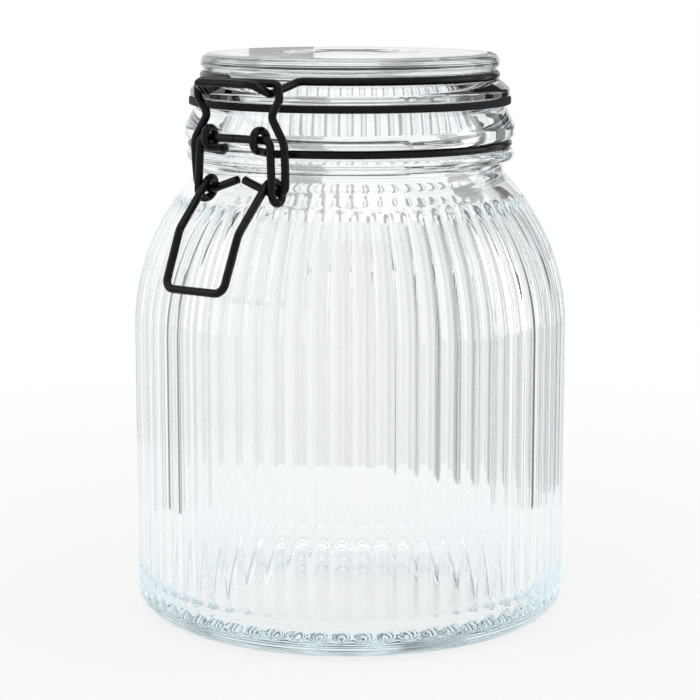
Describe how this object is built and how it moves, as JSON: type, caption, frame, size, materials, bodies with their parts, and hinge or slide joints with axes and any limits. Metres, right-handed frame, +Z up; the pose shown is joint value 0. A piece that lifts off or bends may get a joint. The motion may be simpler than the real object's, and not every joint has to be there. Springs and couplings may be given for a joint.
{
  "type": "clip-top preserving jar",
  "caption": "Clip-top preserving jar of fluted clear glass with a glass lid, a black rubber seal and a black wire closure that levers shut.",
  "frame": {"origin": "centre of the base, on the plane the jar stands on", "axes": "+Z up along the jar's axis; -Y towards the latch and its handle; +Y towards the lid's hinge"},
  "size_m": [0.1328, 0.1428, 0.172],
  "materials": {
    "jar_glass": "clear pressed glass, faintly blue-green at its thick edges",
    "lid_glass": "clear pressed glass, slightly grey-green",
    "seal_rubber": "matt black rubber",
    "black_wire": "satin black coated steel wire"
  },
  "bodies": {
    "jar": {"glass_jar": "jar_glass", "neck_wire": "black_wire"},
    "lid": {"glass_lid": "lid_glass", "gasket": "seal_rubber", "lid_wire": "black_wire"},
    "lever": {"lever_wire": "black_wire"},
    "clamp": {"clamp_frame": "black_wire"}
  },
  "joints": [
    {"name": "lid_hinge", "type": "hinge", "parent": "jar", "child": "lid", "pos_m": [0, 0.0542, 0.1506], "axis": [-1, 0, 0], "range_deg": [0, 200]},
    {"name": "lever_pivot", "type": "hinge", "parent": "jar", "child": "lever", "pos_m": [0, -0.056, 0.1493], "axis": [-1, 0, 0], "range_deg": [0, 60]},
    {"name": "clamp_pivot", "type": "hinge", "parent": "lever", "child": "clamp", "pos_m": [0, -0.05331, 0.1343], "axis": [-1, 0, 0], "range_deg": [-30, 0]}
  ],
  "couplings": [
    {"joint": "clamp_pivot", "follows": "lever_pivot", "ratio": -0.5}
  ]
}
